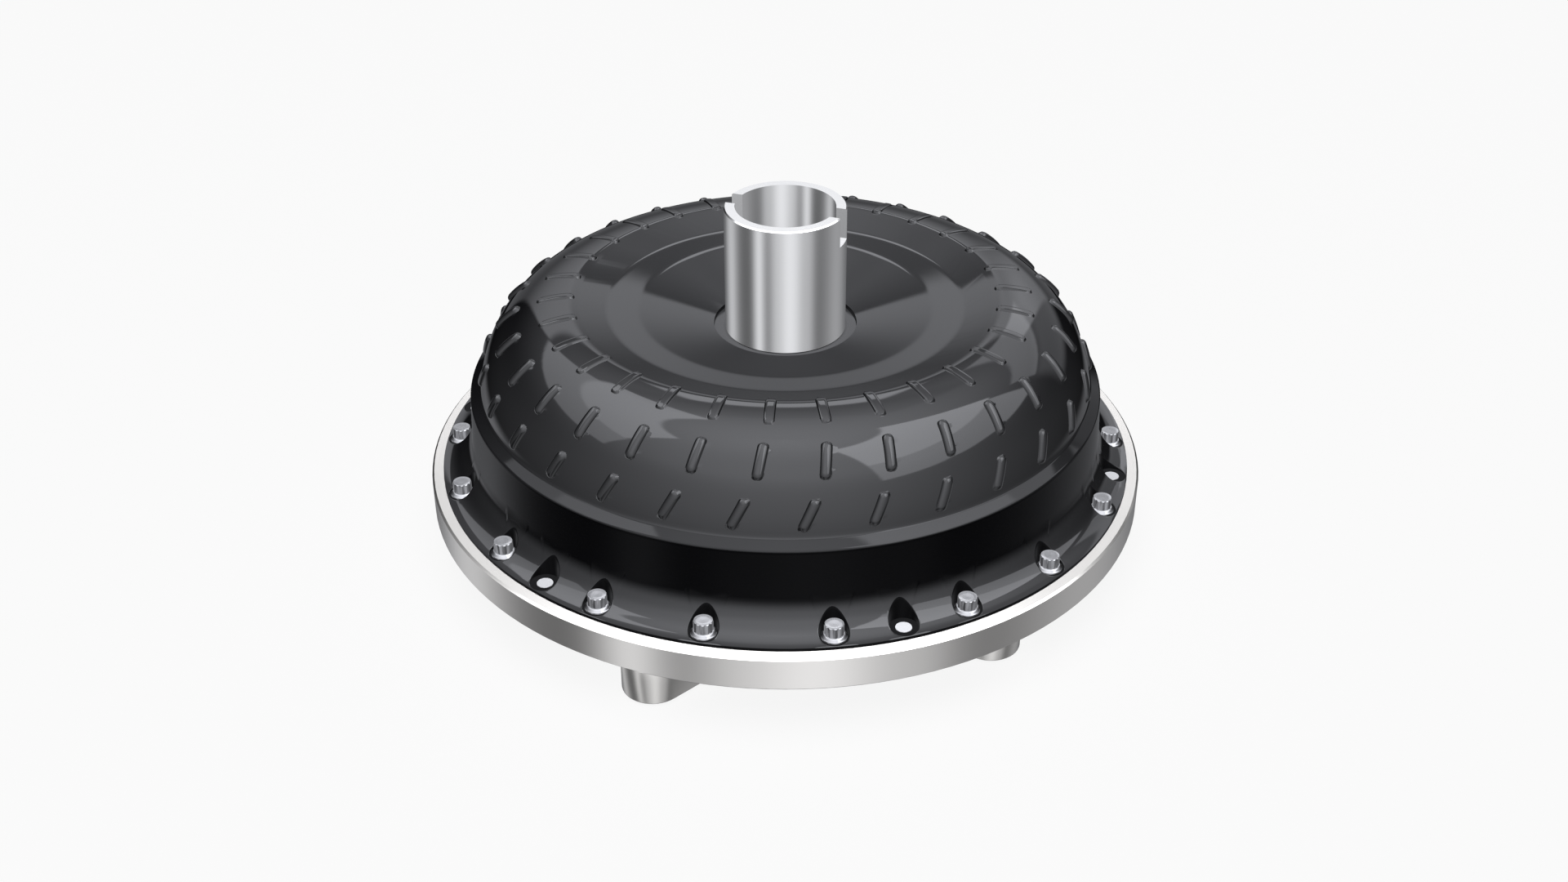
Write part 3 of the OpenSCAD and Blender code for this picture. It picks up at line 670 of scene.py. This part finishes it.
def surface(name, colour, metallic, roughness, spread, grain="turned", bump=0.2, tone=0.06, specular=0.5,
            relief=RELIEF, painted_shade_between=None, painted_shade_edge=0, painted_below=None):
    """A procedural finish. grain is one of GRAINS, spread is how far the roughness varies, tone how far the
    colour does, and relief the grain's depth in metres.
    painted_shade_between is four heights in mm, between which the paint's reflection fades out and in again,
    and painted_shade_edge is the height in mm up to which it stays a little dimmer: painted shade on the
    wall and on the ledge above it.
    painted_below is the height in mm up to which black paint covers the metal."""
    material = bpy.data.materials.new(name)
    material.use_nodes = True
    tree = material.node_tree
    n = Nodes(tree)
    shader = tree.nodes["Principled BSDF"]
    shader.inputs["Metallic"].default_value = metallic
    shader.inputs["IOR"].default_value = 1.5
    shader.inputs["Specular IOR Level"].default_value = specular
    place, lathe, z = lathe_space(n)
    cloud = n.noise(place, 38, 3, 0.55)
    fine = n.noise(lathe if grain == "turned" else place, *GRAINS[grain])
    light = tuple(min(1.0, c * (1 + tone)) for c in colour)
    dark = tuple(c * (1 - tone) for c in colour)
    blend = n.math("ADD", n.math("MULTIPLY", cloud, 0.6), n.math("MULTIPLY", fine, 0.4))
    finish = n.mix(blend, rgba(dark), rgba(light))
    if painted_below:
        bare = n.fade(z, painted_below * MM, (painted_below + 0.2) * MM)
        finish = n.mix(bare, rgba(PAINT_BLACK), finish)
        tree.links.new(bare, shader.inputs["Metallic"])
    # Painted shade: the gloss's reflection dimmed by height on the wall's band and on the ledge above it
    if painted_shade_between:
        fade_low, full_low, full_high, fade_high = (h * MM for h in painted_shade_between)
        wall_shade = n.math("MULTIPLY", n.fade(z, fade_low, full_low), n.fade(z, full_high, fade_high, 1.0, 0.0))
        edge = n.math("MULTIPLY", n.fade(z, full_high - MM, full_high),
                      n.fade(z, (painted_shade_edge - 0.4) * MM, painted_shade_edge * MM, 1.0, 0.0))
        shine = n.math("SUBTRACT", specular, n.math("MULTIPLY", edge, specular * EDGE_PAINTED_SHADE))
        wall_shine = n.math("SUBTRACT", 1.0, n.math("MULTIPLY", wall_shade, WALL_PAINTED_SHADE))
        tree.links.new(n.math("MULTIPLY", shine, wall_shine), shader.inputs["Specular IOR Level"])
    tree.links.new(finish, shader.inputs["Base Color"])
    rough = n.math("ADD", roughness - spread / 2, n.math("MULTIPLY", blend, spread), clamp=True)
    tree.links.new(rough, shader.inputs["Roughness"])
    bumps = n.add("ShaderNodeBump", {"Strength": bump, "Distance": relief, "Height": fine})
    tree.links.new(bumps.outputs["Normal"], shader.inputs["Normal"])
    return material


# The gloss black gets painted shade on the wall and the ledge, through its reflection being dimmed by height
# there
gloss_black = surface("gloss_black", PAINT_BLACK, 0.0, 0.05, 0.02, "plain", bump=0.05, tone=0.1,
                      relief=FINE_RELIEF, painted_shade_between=(37, 42, 61.2, 61.9), painted_shade_edge=64.6)
# A near-black that barely reflects: painted shade inside the pockets and in the hub's recess, and the
# flange's rim gets the same near-black
pocket_painted_shade = surface("pocket_painted_shade", (0.003, 0.003, 0.0035), 0.0, 0.35, 0.06, "plain", bump=0.05,
                       tone=0.15, specular=0.05, relief=FINE_RELIEF)
cover_steel = surface("cover_steel", (0.85, 0.825, 0.775), 1.0, 0.2, 0.04, "turned", bump=0.08, tone=0.02,
                      relief=FINE_RELIEF)
hub_steel = surface("hub_steel", (0.79, 0.785, 0.765), 1.0, 0.15, 0.03, "turned", bump=0.06, tone=0.02,
                    relief=FINE_RELIEF, painted_below=HUB_SEAT + 0.25)
lug_steel = surface("lug_steel", (0.7, 0.68, 0.635), 1.0, 0.24, 0.08, "sheet", bump=0.08, tone=0.04)
bolt_steel = surface("bolt_steel", (0.34, 0.34, 0.345), 1.0, 0.2, 0.06, "sheet", bump=0.08, tone=0.05)
pin_steel = surface("pin_steel", (0.6, 0.6, 0.6), 1.0, 0.26, 0.06, "sheet", bump=0.05, tone=0.03)
seal_rubber = surface("seal_rubber", (0.016, 0.016, 0.016), 0.0, 0.62, 0.1, "sheet", bump=0.25, tone=0.15)
blade_steel = surface("blade_steel", (0.47, 0.47, 0.48), 1.0, 0.3, 0.12, "sheet", tone=0.1)
turbine_steel = surface("turbine_steel", (0.4, 0.41, 0.43), 1.0, 0.33, 0.12, tone=0.08)
forged_steel = surface("forged_steel", (0.36, 0.365, 0.38), 1.0, 0.36, 0.12, bump=0.3, tone=0.08)
stator_aluminium = surface("stator_aluminium", (0.66, 0.66, 0.67), 1.0, 0.45, 0.14, "cast", bump=0.5,
                           tone=0.08, relief=CAST_RELIEF)
race_steel = surface("race_steel", (0.6, 0.6, 0.62), 1.0, 0.16, 0.06, bump=0.1, tone=0.03)
spring_steel = surface("spring_steel", (0.13, 0.14, 0.19), 1.0, 0.3, 0.1, "sheet", bump=0.1, tone=0.2)
plate_brass = surface("plate_brass", (0.66, 0.47, 0.2), 1.0, 0.28, 0.1)
cage_brass = surface("cage_brass", (0.62, 0.42, 0.16), 1.0, 0.34, 0.1, tone=0.08)

FINISHED_NODES = [
    (cover_steel, ("front_cover", "crank_pilot")),
    (hub_steel, ("pump_hub",)),
    (seal_rubber, ("cover_seal",)),
    (pin_steel, ("dowel_pins",)),
    (blade_steel, ("impeller_blades", "impeller_core_ring", "turbine_blades", "turbine_core_ring")),
    (turbine_steel, ("turbine_shell",)),
    (forged_steel, ("turbine_hub",)),
    (bolt_steel, ("turbine_rivets",)),
    (stator_aluminium, ("stator_wheel",)),
    (spring_steel, ("clutch_springs", "stator_snap_ring")),
    (plate_brass, ("clutch_front_plate", "clutch_rear_plate")),
    (cage_brass, ("front_cage", "middle_cage", "rear_cage")),
    (race_steel, ("stator_cam_race", "clutch_rollers", "stator_inner_race",
                  "front_race_cover", "front_race_turbine", "front_needles",
                  "middle_race_turbine", "middle_race_stator", "middle_needles",
                  "rear_race_stator", "rear_race_hub", "rear_needles")),
]
for finish, names in FINISHED_NODES:
    for name in names:
        nodes[name].data.materials.clear()
        nodes[name].data.materials.append(finish)

# ---------------------------------------------------------------- pieces

shell_mesh = housing_shell_mesh()
shell = new_object("housing_shell", shell_mesh.verts, shell_mesh.faces + shell_mesh.shade_painted_faces, "housing",
                   [gloss_black, pocket_painted_shade], 26)
for face in shell.data.polygons[len(shell_mesh.faces):]:
    face.material_index = 1
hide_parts("impeller_shell")

bolt_verts, bolt_faces = bolt_set()
bolts = new_object("flange_bolt_set", bolt_verts, bolt_faces, "housing", [bolt_steel], 28)
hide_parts("flange_bolts")

lugs = bevelled_copy("drive_lugs", "bevelled_lugs", 0.7)
lugs.data.materials.clear()
lugs.data.materials.append(lug_steel)
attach(lugs, "housing")
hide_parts("drive_lugs")

# ---------------------------------------------------------------- studio

FLOOR_HALF = 6.0
FLOOR_GAP = 0.5 * MM
FLOOR_GLOW = 0.885
floor_mesh = bpy.data.meshes.new("floor")
floor_mesh.from_pydata([(-FLOOR_HALF, -FLOOR_HALF, 0), (FLOOR_HALF, -FLOOR_HALF, 0),
                        (FLOOR_HALF, FLOOR_HALF, 0), (-FLOOR_HALF, FLOOR_HALF, 0)], [], [(0, 1, 2, 3)])
floor = bpy.data.objects.new("floor", floor_mesh)
bpy.context.scene.collection.objects.link(floor)
floor.location.z = cad_low.z - FLOOR_GAP
floor_paint = bpy.data.materials.new("floor_paint")
floor_paint.use_nodes = True
floor_shader = floor_paint.node_tree.nodes["Principled BSDF"]
floor_shader.inputs["Base Color"].default_value = (0.08, 0.08, 0.08, 1)
floor_shader.inputs["Roughness"].default_value = 1.0
floor_shader.inputs["Specular IOR Level"].default_value = 0.0
floor_shader.inputs["Emission Color"].default_value = (1, 1, 1, 1)
floor_shader.inputs["Emission Strength"].default_value = FLOOR_GLOW
floor_mesh.materials.append(floor_paint)
# The floor is a backdrop only: the object reflects the studio's softboxes, and not the floor or itself
floor.visible_diffuse = False
floor.visible_glossy = False
for piece in list(nodes.values()) + [shell, bolts, lugs]:
    piece.visible_glossy = False


def studio_direction(azimuth, elevation):
    """Azimuth 0 is the camera's side and 90 is its right."""
    a, e = math.radians(azimuth), math.radians(elevation)
    return Vector((math.sin(a) * math.cos(e), -math.cos(a) * math.cos(e), math.sin(e)))


def soft_light(name, azimuth, elevation, size, radiance, distance=3.0):
    """A square light for the matt surfaces, facing the object. It doesn't show as a reflection."""
    light = bpy.data.lights.new(name, "AREA")
    light.shape = "SQUARE"
    light.size = size
    light.energy = radiance * math.pi * size * size
    obj = bpy.data.objects.new(name, light)
    bpy.context.scene.collection.objects.link(obj)
    direction = studio_direction(azimuth, elevation)
    obj.location = (cad_low + cad_high) / 2 + direction * distance
    obj.rotation_mode = "QUATERNION"
    obj.rotation_quaternion = direction.to_track_quat("Z", "Y")
    obj.visible_glossy = False


soft_light("overhead", 0, 88, size=4.0, radiance=2.2)
soft_light("front_fill", -10, 40, size=2.0, radiance=1.6)

world = bpy.data.worlds.new("studio")
bpy.context.scene.world = world
world.use_nodes = True
world.cycles_visibility.diffuse = False
w = Nodes(world.node_tree)
background = world.node_tree.nodes["Background"]
toward = w.add("ShaderNodeSeparateXYZ", {0: w.add("ShaderNodeTexCoord").outputs["Generated"]})
azimuth = w.math("ARCTAN2", toward.outputs[0], w.math("MULTIPLY", toward.outputs[1], -1.0))
height = toward.outputs[2]


def sine(degrees):
    """The height, on the unit sphere, of an elevation."""
    return math.sin(math.radians(degrees))


def away_from(degrees):
    """1 minus the cosine of the turn from one azimuth."""
    return w.math("SUBTRACT", 1.0, w.math("COSINE", w.math("SUBTRACT", azimuth, math.radians(degrees))))


def lobe(degrees, width):
    """A soft bump round one azimuth."""
    return w.math("EXPONENT", w.math("MULTIPLY", away_from(degrees), -1 / math.radians(width) ** 2))


def band(low, high, soft=0.8):
    """1 between two elevations, with soft edges."""
    return w.math("MULTIPLY", w.fade(height, sine(low - soft), sine(low + soft)),
                  w.fade(height, sine(high - soft), sine(high + soft), 1.0, 0.0))


def panel(centre, half, low, high, radiance, soft=0.8):
    """A rectangular softbox, given by its azimuths and elevations."""
    inner, outer = (1 - math.cos(math.radians(half + sign * soft)) for sign in (-1, 1))
    side = w.fade(away_from(centre), inner, outer, 1.0, 0.0)
    return w.math("MULTIPLY", radiance, w.math("MULTIPLY", side, band(low, high, soft)))


def total(terms):
    result = terms[0]
    for term in terms[1:]:
        result = w.math("ADD", result, term)
    return result


# What the gloss and the steel reflect: a dome, brightest overhead, and a soft wall behind the camera
dome = w.math("MULTIPLY", 3.3, w.math("POWER", w.math("MAXIMUM", height, 0.0), 3.2))
facing = w.math("POWER", w.math("SUBTRACT", 1.0, w.math("MULTIPLY", away_from(0), 0.5)), 1.8)
front_wall = w.math("MULTIPLY", facing, w.math("MULTIPLY", w.fade(height, -1.4, 0.35, 0.0, 1.95),
                                               w.fade(height, 0.6, 1.05, 1.0, 0.12)))
# Softboxes left, right and behind. The negative one takes light from the dome.
softboxes = total([
    panel(-117, 40, 45, 65, 2.3), panel(-114, 38, 31, 45, 1.35),
    panel(78, 42, 45, 71, 3.1), panel(77, 41, 26, 45, 1.8),
    panel(145, 20, 26, 38, 1.0), panel(145, 20, 4, 26, 0.45, 4),
    w.math("MULTIPLY", panel(180, 27, -14, 31, 1.0, 1), w.fade(height, sine(4), sine(33), 0.2, 1.1)),
    panel(180, 9, 37, 44, 2.2, 1), panel(180, 27, 45, 60, -0.2, 3)])
# Well below the horizon: tall soft strips, which show as upright bands in the steel. Each one's azimuth,
# width and strength:
STRIPS = ((-122, 15, 0.52), (-51, 8, 0.74), (-20, 7, 0.16), (9, 20, 0.86), (46, 8, 0.22), (112, 24, 0.28))
BETWEEN_STRIPS = 0.13
strips = total([w.math("MULTIPLY", lobe(degrees, width), strength) for degrees, width, strength in STRIPS])
low = w.fade(height, sine(-18), sine(-24), 0.0, 1.0)
upper = w.math("MULTIPLY", total([dome, front_wall, softboxes]), w.math("SUBTRACT", 1.0, low))
lower = w.math("MULTIPLY", w.math("ADD", strips, BETWEEN_STRIPS), low)
world.node_tree.links.new(total([upper, lower]), background.inputs["Strength"])
background.inputs["Color"].default_value = (0.95, 0.965, 1.02, 1)

# ---------------------------------------------------------------- camera

CAMERA_PLACE = Vector((-0.55, -668.2, 441.8)) * MM
CAMERA_AIM = Vector((-0.55, 0, 29.6)) * MM
camera_data = bpy.data.cameras.new("camera")
camera_data.sensor_width = 36
camera_data.lens = 43.69
camera_data.clip_start, camera_data.clip_end = 0.01, 50
camera = bpy.data.objects.new("camera", camera_data)
bpy.context.scene.collection.objects.link(camera)
camera.location = CAMERA_PLACE
camera.rotation_mode = "QUATERNION"
camera.rotation_quaternion = (CAMERA_AIM - CAMERA_PLACE).to_track_quat("-Z", "Y")
bpy.context.scene.camera = camera
bpy.context.scene.view_settings.view_transform = "Standard"
